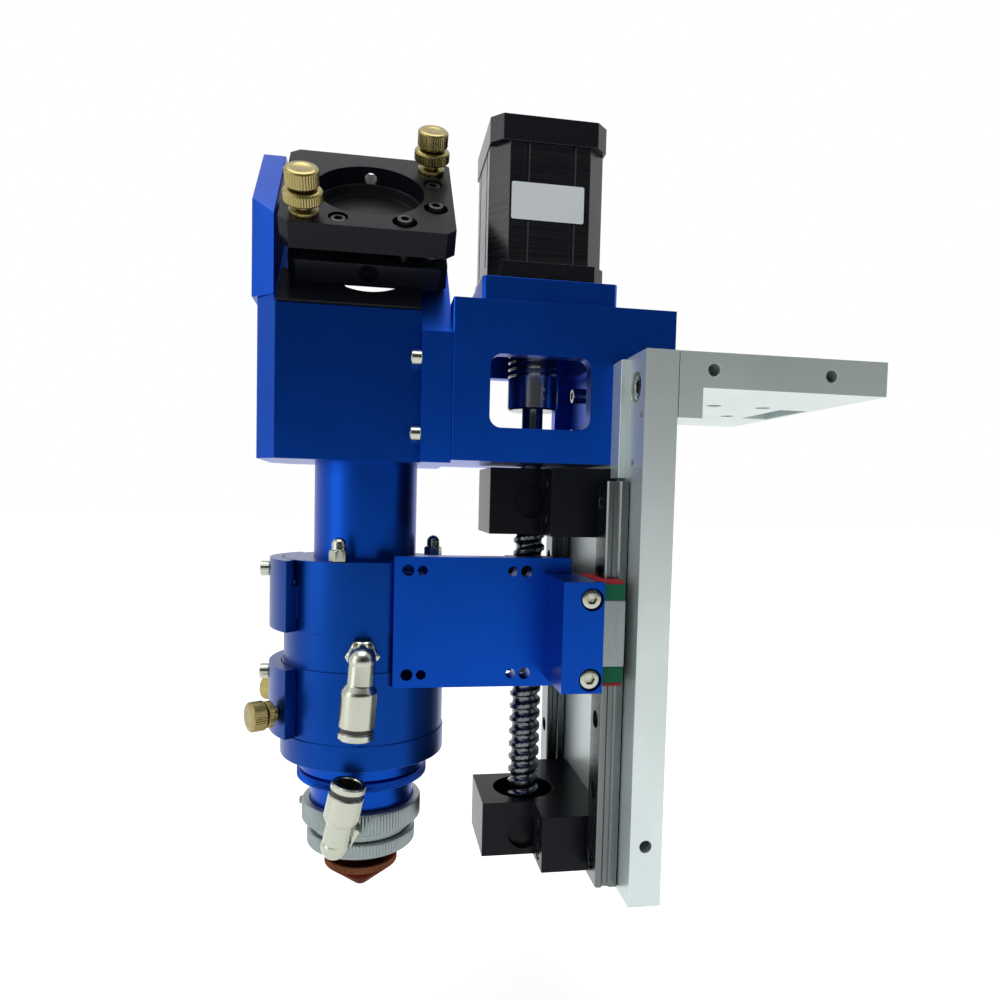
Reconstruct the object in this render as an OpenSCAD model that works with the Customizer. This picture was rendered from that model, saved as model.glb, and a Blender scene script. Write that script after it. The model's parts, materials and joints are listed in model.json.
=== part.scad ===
// Laser cutting head with a motor-driven focus slide: an L-shaped bracket with
// two linear guides and a ball screw, a motor on top, a fixed turning-mirror
// block and a telescopic lens barrel that rides on the slide.
// Millimetres. +Z is up, the viewer stands at -Y, the bracket is on the +X side.
// Origin: centre of the gantry bolt pattern on the bracket's top face.

/* [Bracket] */
// Thickness of the back plate
plate_t = 11; // [10.6:0.2:11.4]
// Height of the back plate
plate_h = 182; // [181:0.5:182]
// Width of the back plate and bracket
plate_w = 112; // [112:1:120]
// Far end of the top bracket, from the plate's guide face
bracket_x = 84.7; // [84:0.1:90]
// Thickness of the top bracket
bracket_t = 11.6; // [11:0.2:12.4]
// Radius of the gantry bolt holes
gantry_r = 2.75; // [2.2:0.05:3.3]
// Gantry bolt spacing along X
gantry_sx = 20; // [16:1:24]
// Gantry bolt spacing along Y
gantry_sy = 30; // [26:1:40]

/* [Guides and screw] */
// Distance of each rail from the screw axis
rail_y = 39; // [38.8:0.1:39.2]
// Length of the rails
rail_len = 138.6; // [136:0.2:139]
// Radius of the ball screw
screw_r = 6; // [5.5:0.05:6]
// Distance of the screw axis from the guide face
screw_h = 25; // [24.8:0.1:25.2]
// Height of the carriage centre above the lower block
slide_z = 90.2; // [89.8:0.1:90.4]

/* [Motor] */
// Width of the motor body
motor_w = 42.3; // [42:0.1:42.4]
// Top of the motor above the lower block
motor_top = 267; // [264:0.5:275]

/* [Barrel] */
// Outer radius of the lens barrel
barrel_r = 29.7; // [29.4:0.1:29.8]
// Outer radius of the telescopic beam tube
tube_r = 18.7; // [18.5:0.05:18.7]
// Outer radius of the drawer fronts
drawer_r = 34.2; // [33.8:0.1:34.6]
// Radius of the nozzle's rim
nozzle_r = 13.6; // [13:0.1:15]

/* [Mirror mount] */
// Half width of the tilting mirror plate
tilt_hw = 29; // [28.6:0.1:29.2]
// Thickness of the tilting mirror plate
tilt_t = 9; // [8.6:0.1:9]
// Radius of the mirror plate's bore
tilt_bore = 19; // [18.95:0.01:19.05]

/* [Hidden] */
$fn = 64;
mx = 52;                       // gantry pattern centre from the guide face
bx = -87.4;                    // barrel and beam axis
blue = [0.04, 0.16, 0.55];
navy = [0.03, 0.12, 0.42];
black = [0.08, 0.09, 0.10];
silver = [0.76, 0.80, 0.79];
steel = [0.62, 0.63, 0.62];
brass = [0.74, 0.64, 0.34];
nickel = [0.83, 0.85, 0.80];
copper = [0.50, 0.27, 0.18];
green = [0.03, 0.30, 0.20];
red = [0.42, 0.09, 0.10];
glass = [0.75, 0.85, 0.85, 0.4];
mo = [-87.5, 3.0, 224.3];      // mirror mount origin on the block's 45 degree face
drawer_a = 40;                 // half angle of the drawer fronts
el1_z = 79.5;                  // upper air elbow
el2_z = 16.5;                  // lower air elbow
el2_a = 13;                    // lower elbow port, degrees left of the front
el2_tilt = 12.5;               // lower elbow arm leaning to the right

// ---- frames and shared shapes ------------------------------------------------
// Working frame: X = 0 on the guide face, Y = 0 on the screw, Z = 0 under the lower block.
module P() { translate([-mx, 0, -plate_h]) children(); }
module box(x0, x1, y0, y1, z0, z1) { translate([x0, y0, z0]) cube([x1 - x0, y1 - y0, z1 - z0]); }
module zcyl(x, y, z0, z1, r) { translate([x, y, z0]) cylinder(h = z1 - z0, r = r); }
module xcyl(y, z, x0, x1, r) { translate([x0, y, z]) rotate([0, 90, 0]) cylinder(h = x1 - x0, r = r); }
module ycyl(x, z, y0, y1, r) { translate([x, y1, z]) rotate([90, 0, 0]) cylinder(h = y1 - y0, r = r); }
module barrel(a = 0) { P() translate([bx, 0, 0]) rotate([0, 0, a]) children(); }
module mirror_frame() { P() translate(mo) rotate([45, 0, 0]) children(); }
module ring(r0, r1, z0, z1) { translate([0, 0, z0]) difference() { cylinder(h = z1 - z0, r = r1); translate([0, 0, -1]) cylinder(h = z1 - z0 + 2, r = r0); } }
module chamfered(x0, x1, y0, y1, c) { polygon([[x0 + c, y0], [x1 - c, y0], [x1, y0 + c], [x1, y1 - c], [x1 - c, y1], [x0 + c, y1], [x0, y1 - c], [x0, y0 + c]]); }
// Socket-head screw along +X with its head's front at x = 0
module socket_x(hr, hl, sr, sl) {
  rotate([0, 90, 0]) difference() {
    union() { cylinder(h = hl, r = hr); translate([0, 0, hl - 0.01]) cylinder(h = sl + 0.01, r = sr); }
    translate([0, 0, -0.01]) cylinder(h = hl * 0.6, r = hr * 0.52, $fn = 6);
  }
}
module both_y() { children(); mirror([0, 1, 0]) children(); }
module yz_profile(x0, x1, pts) { translate([x0, 0, 0]) rotate([90, 0, 90]) linear_extrude(height = x1 - x0) polygon(pts); }

// ---- bracket -----------------------------------------------------------------
bolt_y = [-46.5, -20, 20, 46.5];
bolt_z = 171;
function rail_z(i) = 8.1 + 25 * i;
module back_plate() { color(silver) P() difference() {
  box(0, plate_t, -plate_w / 2, plate_w / 2, 0, plate_h);
  for (y = bolt_y) { xcyl(y, bolt_z, -1, 5.6, 5.2); xcyl(y, bolt_z, 0, plate_t + 1, 2.6); }
  for (s = [-1, 1], i = [0 : 5]) xcyl(s * rail_y, rail_z(i), -1, 8.5, 1.5);
  for (s = [-1, 1], z = [5.5, 14.5]) xcyl(s * 23, z, -1, 9.5, 2.05);
  for (s = [-1, 1], z = [126, 139]) xcyl(s * 23, z, -1, 9.5, 2.05);
  for (z = [158, 173.7]) xcyl(0, z, -1, 9.5, 2.05);
  ycyl(5.3, 20.2, -plate_w / 2 - 1, -plate_w / 2 + 14, 2.1);
  xcyl(-52.3, 161.3, -1, 4, 1.2); xcyl(-45.3, 146.2, -1, 4, 1.2);
} }
module top_bracket() { color(silver) P() difference() {
  union() {
    box(plate_t, bracket_x, -plate_w / 2, plate_w / 2, plate_h - bracket_t, plate_h);
    box(plate_t, plate_t + 8.5, -plate_w / 2, plate_w / 2, plate_h - 21.4, plate_h - bracket_t + 1);
  }
  for (sx = [-1, 1], sy = [-1, 1]) zcyl(mx + sx * gantry_sx / 2, sy * gantry_sy / 2, plate_h - 30, plate_h + 1, gantry_r);
  box(71, 82.5, -12, 20, plate_h - 30, plate_h + 1);
  for (s = [-1, 1]) box(plate_t - 1, plate_t + 0.4, s * plate_w / 2 - 1, s * plate_w / 2 + 1, plate_h - 30, plate_h + 1);
  for (x = [23, 64.3], s = [-1, 1]) ycyl(x, 176.3, s * plate_w / 2 - 14, s * plate_w / 2 + 14, 2.1);
  for (y = bolt_y) xcyl(y, bolt_z, 0, plate_t + 8.2, 2.55);
} }
module frame_screws() { color(steel) P() {
  for (y = bolt_y) translate([0.6, y, bolt_z]) socket_x(4.25, 5, 2.5, 13);
  for (s = [-1, 1], z = [5.5, 14.5]) translate([-23.2, s * 23, z]) socket_x(3.5, 4, 2, 28);
  for (s = [-1, 1], z = [126, 139]) translate([-23.2, s * 23, z]) socket_x(3.5, 4, 2, 28);
  for (z = [158, 173.7]) translate([-9.6, 0, z]) socket_x(2.85, 5.4, 2, 13.1);
  for (s = [-1, 1], z = [154.5, 180]) translate([-72.7, s * 27.8, z]) socket_x(2.7, 3.5, 1.5, 17);
} }
module rail_section() { polygon([[0, -5.2], [-0.6, -6], [-3.0, -6], [-3.8, -5.1], [-5.4, -5.1], [-6.0, -6], [-7.4, -6], [-8, -5.4], [-8, 5.4], [-7.4, 6], [-6.0, 6], [-5.4, 5.1], [-3.8, 5.1], [-3.0, 6], [-0.6, 6], [0, 5.2]]); }
module linear_rails() { color(steel) P() for (s = [-1, 1]) difference() {
  translate([0, s * rail_y, 1.4]) linear_extrude(height = rail_len) rail_section();
  for (i = [0 : 5]) { xcyl(s * rail_y, rail_z(i), -9, -3.5, 3); xcyl(s * rail_y, rail_z(i), -9, 1, 1.75); }
} }
module rail_screws() { color(black) P() for (s = [-1, 1], i = [0 : 5]) translate([-6.5, s * rail_y, rail_z(i)]) socket_x(2.75, 3, 1.45, 11); }

// ---- screw supports ------------------------------------------------------------
// T-shaped support; za, zb: bolt heights, (ex, ez): round recess on the front face
module bearing_block(z0, z1, za, zb, ex, ez) { difference() {
  union() { box(-23.5, 0, -30, 30, z0, z1); box(-43, -1, -15.1, 15.1, z0, z1); }
  zcyl(-screw_h, 0, z0 - 1, z1 + 1, 11.7);
  for (s = [-1, 1], z = [za, zb]) { xcyl(s * 23, z, -24, -19.1, 3.7); xcyl(s * 23, z, -24, 1, 2.1); }
  ycyl(ex, ez, -16, -12.6, 6.3);
} }
module upper_bearing_block() { color(black) P() bearing_block(120.4, 144.6, 126, 139, -27.7, 132.9); }
module lower_bearing_block() { color(black) P() bearing_block(0, 20.1, 5.5, 14.5, -27, 8.6); }
module screw_bearings() { color(steel) P() translate([-screw_h, 0, 0]) { ring(5.05, 11.65, 5, 13); ring(5.05, 11.65, 125, 140); } }

// ---- motor and its housing -----------------------------------------------------
hz0 = 146; hz1 = 200.8;
module window() { translate([0, 40, 0]) rotate([90, 0, 0]) linear_extrude(height = 80) union() {
  translate([-42, 157.6]) square([27.5, 25.1]); translate([-46, 161.6]) square([35.5, 17.1]);
  for (x = [-42, -14.5], z = [161.6, 178.7]) translate([x, z]) circle(r = 4);
} }
module motor_housing() { color(navy) P() difference() {
  union() {
    translate([0, 0, hz0]) linear_extrude(height = hz1 - hz0) polygon([[-58.6, -30], [-2.6, -30], [-2.6, 30], [-58.6, 30], [-59, 29.6], [-59, -29.6]]);
    box(-3, 20, -30, 30, 182, hz1);
  }
  box(-52, -4.2, -24, 24, 152, 182);
  for (z = [158, 173.7]) xcyl(0, z, -6, -2, 2.15);
  box(-52, -6, -24, 24, 180, 194);
  window();
  zcyl(-screw_h, 0, 145, 153, 6.5);
  zcyl(-screw_h, 0, 193, 202, 11.2);
  for (s = [-1, 1], z = [154.5, 180]) xcyl(s * 27.8, z, -60, -50, 1.55);
  for (a = [-1, 1], b = [-1, 1]) zcyl(-screw_h + a * 15.5, b * 15.5, 193, 202, 1.6);
} }
module housing_shim() { color(silver) P() difference() {
  union() { box(-2.6, 0, -39, 39, 144.8, 181.2); for (s = [-1, 1]) box(-2.6, 0, s > 0 ? 30.4 : -39, s > 0 ? 39 : -30.4, 141.2, 145); }
  for (z = [158, 173.7]) xcyl(0, z, -4, 1, 2.05);
} }
module motor_adapter() { color(blue) P() difference() {
  translate([0, 0, hz1]) linear_extrude(height = 9.4) chamfered(-48.6, -0.2, -24.4, 24.4, 1);
  zcyl(-screw_h, 0, 200, 211, 11.2);
  for (a = [-1, 1], b = [-1, 1]) zcyl(-screw_h + a * 15.5, b * 15.5, 200, 211, 1.6);
} }
mz0 = 210.2; mz1 = 216.8; mz2 = motor_top - 8.9;
module motor_plan(w, c) { chamfered(-screw_h - w / 2, -screw_h + w / 2, -w / 2, w / 2, c); }
module motor_front_cover() { color(black) P() difference() {
  union() { translate([0, 0, mz0]) linear_extrude(height = mz1 - mz0) motor_plan(motor_w, 4.2); zcyl(-screw_h, 0, mz0 - 2, mz0 + 1, 11); }
  zcyl(-screw_h, 0, 200, 230, 2.56);
  for (a = [-1, 1], b = [-1, 1]) zcyl(-screw_h + a * 15.5, b * 15.5, 200, mz0 + 5, 1.3);
} }
module motor_stator() { color(black) P() difference() {
  translate([0, 0, mz1]) linear_extrude(height = mz2 - mz1) motor_plan(motor_w - 0.7, 6.4);
  zcyl(-screw_h, 0, mz1 - 1, mz2 + 1, 12.8);
  for (a = [0 : 90 : 270], s = [-1, 1]) translate([-screw_h, 0, mz1 - 1]) rotate([0, 0, a]) translate([s * 8.3 - 0.75, motor_w / 2 - 0.8, 0]) cube([1.5, 3, mz2 - mz1 + 2]);
} }
module motor_rear_cover() { color(black) P() difference() {
  union() { translate([0, 0, mz2]) linear_extrude(height = motor_top - mz2) motor_plan(motor_w, 4.2); box(-screw_h - 8, -screw_h + 8, 20, 25.5, mz2, mz2 + 7); }
  zcyl(-screw_h, 0, mz2 - 1, mz2 + 6, 4.1);
  box(-screw_h - 7, -screw_h + 7, 21.5, 24.5, mz2 - 1, mz2 + 5.5);
} }

// ---- mirror block ----------------------------------------------------------------
module mirror_block() { color(navy) P() difference() {
  union() {
    intersection() {
      yz_profile(-118.1, -69.2, [[-25, 145], [25, 145], [25, 246.3], [-25, 196.3]]);
      translate([0, 0, 140]) linear_extrude(height = 120) polygon([[-117.6, -25], [-69.2, -25], [-69.2, 25], [-117.6, 25], [-118.1, 24.5], [-118.1, -24.5]]);
    }
    translate([0, 0, 145]) linear_extrude(height = 54) polygon([[-118.1, -24.5], [-124.2, -18.4], [-124.2, 18.4], [-118.1, 24.5]]);
  }
  zcyl(bx, 0, 144, 160, tube_r + 0.06);
  zcyl(bx, 0, 159, 260, 20.2);
  ycyl(bx, 226, 10, 30, 15);
} }
module mirror_flange() { color(navy) P() difference() {
  yz_profile(-69.2, -59, [[-30, 145], [30, 145], [30, 240], [21, 240], [-30, 189]]);
  for (s = [-1, 1], z = [154.5, 180]) xcyl(s * 27.8, z, -70, -58, 1.65);
  zcyl(bx, 0, 144, 160, tube_r + 0.06);
  zcyl(bx, 0, 159, 260, 20.2);
} }
module left_cheek() { color(blue) P() intersection() {
  yz_profile(-126.2, -118.1, [[-25, 199], [25, 199], [25, 256.8], [6.8, 256.8], [-25, 225]]);
  translate([0, 0, 190]) linear_extrude(height = 80) polygon([[-118.1, -25], [-126.2, -18.4], [-126.2, 18.4], [-118.1, 25]]);
} }

// ---- mirror mount, in its own 45 degree frame ---------------------------------------
tz0 = 13; tz1 = tz0 + tilt_t;
piv = [21.5, -21];             // pivot ball, lower right corner
kl = [-21, -20.6];             // left thumbscrew
kr = [22, 20.4];               // right thumbscrew
spr = [[11.8, -21.6], [22.6, -9.8]];   // spring screws, fixed in the base plate
lck = [[-10, -21.6], [22.4, 9.6]];     // lock screws of the tilting plate
module down_bore(r) { translate([0.1, -5.24, -1]) rotate([-45, 0, 0]) translate([0, 0, -30]) cylinder(h = 60, r = r); }
module mirror_base_plate() { color(black) mirror_frame() difference() {
  union() {
    difference() { linear_extrude(height = 8.4) chamfered(-27, 27, -26.4, 27, 2.5); down_bore(12.5); }
    difference() { translate([-29.8, -38.9, 0]) cube([47.8, 20, 1.0]); down_bore(19.6); }
  }
  translate([0, 0, -1]) cylinder(h = 12, r = 19.3);
  translate([0, -21.6, 4.6]) rotate([90, 0, 0]) cylinder(h = 12, r = 3.3);
  rotate([-45, 0, 0]) translate([0.1, 0, 1.7]) rotate([-90, 0, 0]) cylinder(h = 40, r = 15);
  for (p = spr) translate([p[0], p[1], 2]) cylinder(h = 10, r = 1.55);
  translate([piv[0], piv[1], 11.2]) sphere(r = 3.35);
} }
module spring_screws() { color(steel) mirror_frame() for (p = spr) translate([p[0], p[1], tz1 + 1.2]) rotate([0, 90, 0]) socket_x(2.6, 3, 1.5, 17); }
module pivot_ball() { color(steel) mirror_frame() translate([piv[0], piv[1], 11.2]) sphere(r = 2.95); }
module tilt_plate() { color(black) mirror_frame() difference() {
  translate([0, 0, tz0]) linear_extrude(height = tilt_t) chamfered(-tilt_hw, tilt_hw, -27.6, 28.6, 3.2);
  translate([0, 0, tz0 - 1]) cylinder(h = tilt_t + 2, r = tilt_bore);
  translate([0, 0, tz0 + 4.5]) rotate([-90, 0, 0]) cylinder(h = 40, r = 2.3);
  for (p = lck) { translate([p[0], p[1], tz1 - 2]) cylinder(h = 3, r = 3.3); translate([p[0], p[1], tz0 - 1]) cylinder(h = 12, r = 1.55); }
  for (p = spr) { translate([p[0], p[1], tz1 - 5]) cylinder(h = 6, r = 4.2); translate([p[0], p[1], tz0 - 1]) cylinder(h = 12, r = 2.3); }
  for (p = [kl, kr]) translate([p[0], p[1], tz0 - 1]) cylinder(h = 12, r = 3.75);
  translate([piv[0], piv[1], 11.2]) sphere(r = 3.3);
} }
module mirror_cell() { color([0.25, 0.27, 0.29]) mirror_frame() difference() {
  union() { translate([0, 0, 10.8]) cylinder(h = 5.2, r = tilt_bore - 0.05); translate([0, 0, 4.6]) cylinder(h = 7, r = 17.4); }
  translate([0, 0, 4]) cylinder(h = 6.1, r = 15.05);
  translate([0, 0, 12]) cylinder(h = 6, r = tilt_bore - 0.75);
} }
module mirror_disc() { color([0.8, 0.7, 0.5]) mirror_frame() translate([0, 0, 4.8]) cylinder(h = 5.2, r = 15); }
module lock_screws() { color(steel) mirror_frame() for (p = lck) translate([p[0], p[1], tz1 - 0.4]) rotate([0, 90, 0]) socket_x(2.6, 1.6, 1.5, 6.5); }
module tilt_bushings() { color(brass) mirror_frame() for (p = [kl, kr]) translate([p[0], p[1], 0]) difference() {
  union() { translate([0, 0, tz0 - 0.8]) cylinder(h = tilt_t + 0.8, r = 3.7); translate([0, 0, tz1]) cylinder(h = 1.3, r = 4.85); }
  translate([0, 0, tz0 - 2]) cylinder(h = 16, r = 2.06);
} }
module thumb(z) { // knurled cap, neck and shank; lock ring apart
  difference() {
    union() { cylinder(h = z + 14.4, r = 2); translate([0, 0, z + 1.6]) cylinder(h = 8, r = 2.9); translate([0, 0, z + 8.8]) cylinder(h = 5.6, r = 5.5); }
    translate([0, 0, -1]) cylinder(h = 11, r = 4);
  }
  translate([0, 0, z]) difference() { translate([0, 0, 3.6]) cylinder(h = 4.6, r = 6.45); translate([0, 0, 3]) cylinder(h = 6, r = 2.95); }
}
module tilt_knob_left() { color(brass) mirror_frame() translate([kl[0], kl[1], 0]) thumb(tz1); }
module tilt_knob_right() { color(brass) mirror_frame() translate([kr[0], kr[1], 0]) thumb(tz1); }

// ---- drive shaft --------------------------------------------------------------------
module ball_screw() { color(steel) P() translate([-screw_h, 0, 0]) {
  translate([0, 0, 2]) cylinder(h = 142, r = 5); translate([0, 0, 14.5]) cylinder(h = 107.5, r = screw_r); translate([0, 0, 143]) cylinder(h = 35, r = 4); } }
module shaft_coupling() { color(black) P() translate([-screw_h, 0, 0]) difference() {
  translate([0, 0, 167]) cylinder(h = 24.5, r = 9.7);
  translate([0, 0, 166]) cylinder(h = 12.5, r = 4.03);
  translate([0, 0, 178]) cylinder(h = 14, r = 2.53);
  for (i = [0 : 4]) ring(7.2, 11, 177.6 + 2.5 * i, 178.5 + 2.5 * i);
  for (z = [171, 189.9]) translate([0, 0, z]) rotate([0, 90, 20]) cylinder(h = 12, r = 1.2);
} }
module motor_shaft() { color(steel) P() translate([-screw_h, 0, 0]) { translate([0, 0, 179]) cylinder(h = 72, r = 2.5); translate([0, 0, 222]) cylinder(h = mz2 - 225, r = 12.4); translate([0, 0, mz2 - 4]) cylinder(h = 8, r = 4.03); } }

// ---- slide -----------------------------------------------------------------------------
module guide_part(z0, z1, w, x0, x1) { for (s = [-1, 1]) difference() {
  translate([0, s * rail_y, 0]) box(x0, x1, -w / 2, w / 2, z0, z1);
  translate([0, s * rail_y, 0]) box(-8.35, 1, -6.4, 6.4, z0 - 1, z1 + 1);
} }
gl = 10.85;
module guide_blocks() { color(steel) P() guide_part(slide_z - gl, slide_z + gl, 27, -13, -3); }
module guide_end_caps() { color(green) P() { guide_part(slide_z + gl, slide_z + gl + 5.3, 26.6, -12.7, -3.2); guide_part(slide_z - gl - 5.3, slide_z - gl, 26.6, -12.7, -3.2); } }
module guide_seals() { color(red) P() { guide_part(slide_z + gl + 5.3, slide_z + gl + 6.5, 26, -12.4, -3.4); guide_part(slide_z - gl - 6.5, slide_z - gl - 5.3, 26, -12.4, -3.4); } }
sbx = -15.3;
module side_blocks() { color(blue) P() both_y() difference() {
  union() { box(-24.8, -13, -56.3, -30, 71.6, 107.4); box(-13.2, -11.3, -56.3, -52.9, 71.6, 107.4); }
  for (z = [76, 101.9]) { ycyl(sbx, z, -57, -52.6, 3.75); ycyl(sbx, z, -57, -29, 1.6); }
} }
module side_block_screws() { color(nickel) P() both_y() for (z = [76, 101.9]) translate([sbx, -55.6, z]) rotate([0, 0, 90]) socket_x(3.25, 3.0, 1.5, 31); }
module nut_block() { color(blue) P() difference() {
  union() {
    box(-70, -13.6, -22, 22, 75, 101);
    box(-70, -22, 21, 28, 75, 101);
    for (s = [-1, 1]) box(-21.3, -13.6, s > 0 ? 19 : -30, s > 0 ? 30 : -19, 71.6, 107.4);
  }
  zcyl(bx, 0, 60, 120, barrel_r + 0.03);
  zcyl(-screw_h, 0, 60, 120, 11.03);
  for (s = [-1, 1], z = [76, 101.9]) ycyl(sbx, z, s > 0 ? 18 : -31, s > 0 ? 31 : -18, 1.55);
} }
module front_plate() { color(blue) P() difference() {
  union() { box(-77.3, -21.4, -30, -22, 67.8, 112.9); box(-22, -15.7, -30, -22, 107.6, 112.9); }
  zcyl(bx, 0, 60, 120, barrel_r + 0.03);
  for (x = [-72.6, -31.6], z = [72.3, 108.2]) ycyl(x, z, -31, -20, 2.05);
  for (x = [-67.7, -36.5], z = [72.3, 108.2]) ycyl(x, z, -31, -20, 1.7);
} }
module ball_nut() { color([0.2, 0.2, 0.21]) P() translate([-screw_h, 0, 0]) difference() {
  union() { translate([0, 0, 68]) cylinder(h = 34, r = 11); intersection() { translate([0, 0, 101]) cylinder(h = 8.5, r = 17.5); translate([-20, -14, 100]) cube([40, 28, 20]); } }
  translate([0, 0, 60]) cylinder(h = 60, r = screw_r + 0.06);
} }

// ---- lens barrel --------------------------------------------------------------------------
uz0 = 85.3; uz1 = 110.4; lz0 = 47.9; lz1 = 72.7; fz0 = 38.8;
// Room for the tips of screws in the front plate, and for the drawers
module plate_relief() { ycyl(14.8, 72.3, -32, -16, 2.05); ycyl(19.7, 72.3, -32, -16, 1.7); }
module drawer_room(z0, z1) { intersection() {
  translate([-40, -18.9, z0]) cube([62, 37.8, z1 - z0]);
  union() { translate([0, 0, z0 - 1]) cylinder(h = z1 - z0 + 2, r = 28.4); translate([-41, -30, z0 - 1]) cube([41, 60, z1 - z0 + 2]); }
} }
module barrel_upper_module() { color(blue) barrel() difference() {
  translate([0, 0, uz0]) cylinder(h = uz1 - uz0, r = barrel_r - 0.2);
  translate([0, 0, 80]) cylinder(h = 40, r = 16);
  translate([0, 0, 106]) cylinder(h = 10, r = tube_r + 0.03);
  drawer_room(90, 103.6);
  box(12.7, 21.5, -32, -16, 106.1, 112);
  for (a = [-109.5, 6, 130]) rotate([0, 0, a]) translate([25.6, 0, 104]) cylinder(h = 10, r = 1.55);
} }
module barrel_mid_ring() { color(blue) barrel() difference() {
  ring(16, barrel_r - 0.6, lz1, uz0);
  translate([0, 0, el1_z]) rotate([90, 0, 0]) cylinder(h = 40, r = 4.03);
  plate_relief();
} }
module barrel_lower_module() { color(blue) barrel() difference() {
  translate([0, 0, lz0]) cylinder(h = lz1 - lz0, r = barrel_r);
  translate([0, 0, 40]) cylinder(h = 40, r = 15.5);
  drawer_room(51.4, 68.7);
  plate_relief();
} }
module barrel_lower_flange() { color(blue) barrel() ring(14, barrel_r + 0.4, fz0, lz0); }
module nose_tube() { color(blue) barrel() difference() {
  union() { translate([0, 0, 32.9]) cylinder(h = fz0 - 32.9, r = 23.3); translate([0, 0, 13]) cylinder(h = 21, r = 19.1); }
  translate([0, 0, 12]) cylinder(h = 8, r = 10);
  translate([0, 0, 19.99]) cylinder(h = 19, r1 = 10, r2 = 14);
} }
module beam_tube() { color(blue) barrel() ring(16.6, tube_r, 106, 190); }
module acorn_nuts() { color(nickel) barrel() for (a = [-109.5, 6, 130]) rotate([0, 0, a]) translate([25.6, 0, 0]) {
  translate([0, 0, uz1]) cylinder(h = 4, r = 3.35, $fn = 6);
  translate([0, 0, uz1 + 3.9]) cylinder(h = 2, r = 2.45);
  translate([0, 0, uz1 + 5.9]) intersection() { sphere(r = 2.45); translate([-5, -5, 0]) cube(10); }
  translate([0, 0, uz1 - 5]) cylinder(h = 6, r = 1.5);
} }
module nozzle_body() { color(silver) barrel() difference() {
  union() { translate([0, 0, 12.5]) cylinder(h = 7.9, r = 22.1); translate([0, 0, 9.2]) cylinder(h = 4, r = 18.4); translate([0, 0, 3]) cylinder(h = 7, r = 16.95); }
  translate([0, 0, 12.99]) cylinder(h = 10, r = 19.15);
  translate([0, 0, 0]) cylinder(h = 20, r = 8.05);
  translate([0, 0, el2_z]) rotate([90, 0, -el2_a]) translate([0, 0, 18]) cylinder(h = 10, r = 2.53);
} }
module copper_nozzle() { color(copper) barrel() difference() {
  union() { translate([0, 0, -5.4]) cylinder(h = 3, r = nozzle_r); translate([0, 0, -2.5]) cylinder(h = 5.5, r = 9.5); translate([0, 0, -14.4]) cylinder(h = 9.1, r1 = 2.4, r2 = nozzle_r - 0.5); translate([0, 0, 1]) cylinder(h = 9, r = 8); }
  translate([0, 0, -16]) cylinder(h = 30, r = 0.9);
  translate([0, 0, -4]) cylinder(h = 14.5, r1 = 1.5, r2 = 5);
} }
module lock_ring() { color(blue) barrel() ring(19.16, 24.1, 29.1, 32.6); }
module nozzle_nut() { color(silver) barrel() ring(17.02, 20.1, 3.2, 9.0); }

// ---- drawers ---------------------------------------------------------------------------------
module drawer_front(r0, z0, z1) { rotate([0, 0, 180 - drawer_a]) rotate_extrude(angle = 2 * drawer_a, $fn = 128) translate([r0, z0]) square([drawer_r - r0, z1 - z0]); }
module sector_cut(r0, r1, z0, z1, a) { for (s = [0, 1]) rotate([0, 0, 180 + (s == 0 ? -drawer_a - 1 : drawer_a - a)]) rotate_extrude(angle = a + 1, $fn = 128) translate([r0, z0]) square([r1 - r0, z1 - z0]); }
module drawer_slab(z0, z1, r) { h = z1 - z0; intersection() {
  translate([-33, -18.5, z0]) cube([54, 37, h]);
  translate([0, 0, z0]) union() {
    cylinder(h = h, r = 28);
    intersection() { cylinder(h = h, r = r); translate([-41, -30, 0]) cube([41, 60, h]); }
    intersection() { cylinder(h = h, r = 31.5); translate([-33, -17.5, 0]) cube([33, 35, h]); }
  }
} }
module upper_drawer() { color(blue) barrel() difference() {
  union() { drawer_front(barrel_r + 0.15, uz0 + 0.3, uz1 - 0.1); drawer_slab(90.3, 103.3, barrel_r - 0.25); }
  sector_cut(barrel_r - 1, 31.9, 101.5, uz1 + 1, 4);
  translate([0, 0, 80]) cylinder(h = 30, r = 15.4);
  translate([0, 0, 95]) cylinder(h = 30, r = 17.05);
  translate([-40, 0, 105.7]) rotate([0, 90, 0]) cylinder(h = 11, r = 1.55);
} }
module window_glass() { color(glass) barrel() translate([0, 0, 95]) cylinder(h = 3, r = 17); }
module upper_drawer_screw() { color(nickel) barrel() translate([-drawer_r - 3.4, 0, 105.7]) socket_x(2.75, 3.3, 1.5, 4); }
module lower_drawer() { color(blue) barrel() difference() {
  union() { drawer_front(barrel_r + 0.35, lz0 + 0.4, lz1 - 0.2); drawer_slab(51.8, 68.3, barrel_r - 0.05); }
  translate([0, 0, 40]) cylinder(h = 40, r = 15);
  translate([0, 0, 56]) cylinder(h = 30, r = 17.05);
  translate([-40, 0, 67.7]) rotate([0, 90, 0]) cylinder(h = 11, r = 1.55);
  for (s = [-1, 1]) rotate([0, 0, 180 + 30 * s]) translate([18, 0, 56.5]) rotate([0, 90, 0]) cylinder(h = 20, r = 1.57);
} }
module focus_lens() { color(glass) barrel() translate([0, 0, 56]) intersection() { cylinder(h = 8, r = 17); translate([0, 0, -54]) sphere(r = 60); } }
module lower_drawer_screw() { color(nickel) barrel() translate([-drawer_r - 3.4, 0, 67.7]) socket_x(2.75, 3.3, 1.5, 4); }
module centring(s) { color(brass) barrel(180 + 30 * s) translate([0, 0, 56.5]) rotate([0, 90, 0]) {
  translate([0, 0, 19.5]) cylinder(h = 16, r = 1.5);
  translate([0, 0, drawer_r + 0.4]) cylinder(h = 4.6, r = 2.7);
  translate([0, 0, 36]) cylinder(h = 2.4, r = 4.7);
  translate([0, 0, 38.7]) cylinder(h = 5.4, r = 5.2);
} }
module centring_knob_front() { centring(1); }
module centring_knob_rear() { centring(-1); }

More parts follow.
